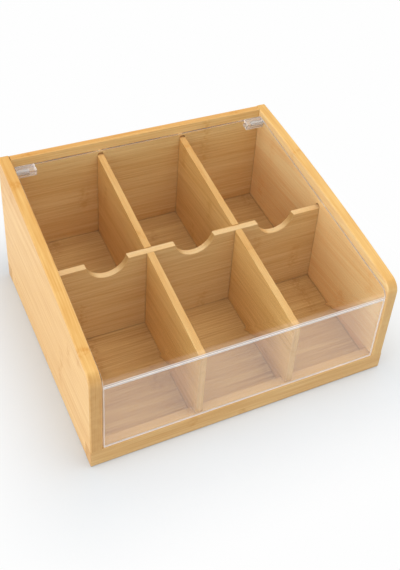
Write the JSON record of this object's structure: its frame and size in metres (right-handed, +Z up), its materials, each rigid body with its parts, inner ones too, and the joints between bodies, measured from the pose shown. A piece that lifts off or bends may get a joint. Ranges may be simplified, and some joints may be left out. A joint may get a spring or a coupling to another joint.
{
  "type": "tea bag organizer box",
  "caption": "Bamboo tea bag organizer with slanted side panels, crossed dividers, finger notches and a hinged clear lid that drops over the front.",
  "frame": {"origin": "centre of the footprint, on the surface that the box stands on", "axes": "+Z up, the front with the clear plate faces -Y, +X to the right seen from the front"},
  "size_m": [0.22, 0.194, 0.1123],
  "materials": {
    "bamboo_side": "satin lacquer",
    "bamboo_panel": "satin lacquer",
    "bamboo_rail": "satin lacquer",
    "bamboo_floor": "satin lacquer",
    "bamboo_divider": "satin lacquer",
    "bamboo_cross": "satin lacquer",
    "clear_sheet": "clear, polished",
    "clear_plate": "clear, polished",
    "clear_block": "clear, polished",
    "pin_steel": "polished"
  },
  "bodies": {
    "box": {"left_side": "bamboo_side", "right_side": "bamboo_side", "back_panel": "bamboo_panel", "front_rail": "bamboo_rail", "rear_rail": "bamboo_rail", "left_rail": "bamboo_side", "right_rail": "bamboo_side", "floor_panel": "bamboo_floor", "long_divider_left": "bamboo_divider", "long_divider_right": "bamboo_divider", "cross_divider": "bamboo_cross"},
    "lid": {"lid_top": "clear_sheet", "lid_front": "clear_plate", "hinge_block_left": "clear_block", "hinge_block_right": "clear_block", "hinge_pin_left": "pin_steel", "hinge_pin_right": "pin_steel"}
  },
  "joints": [
    {"name": "lid_hinge", "type": "hinge", "parent": "box", "child": "lid", "pos_m": [0, 0.08489, 0.10294], "axis": [-1, 0, 0], "range_deg": [0, 107]}
  ]
}
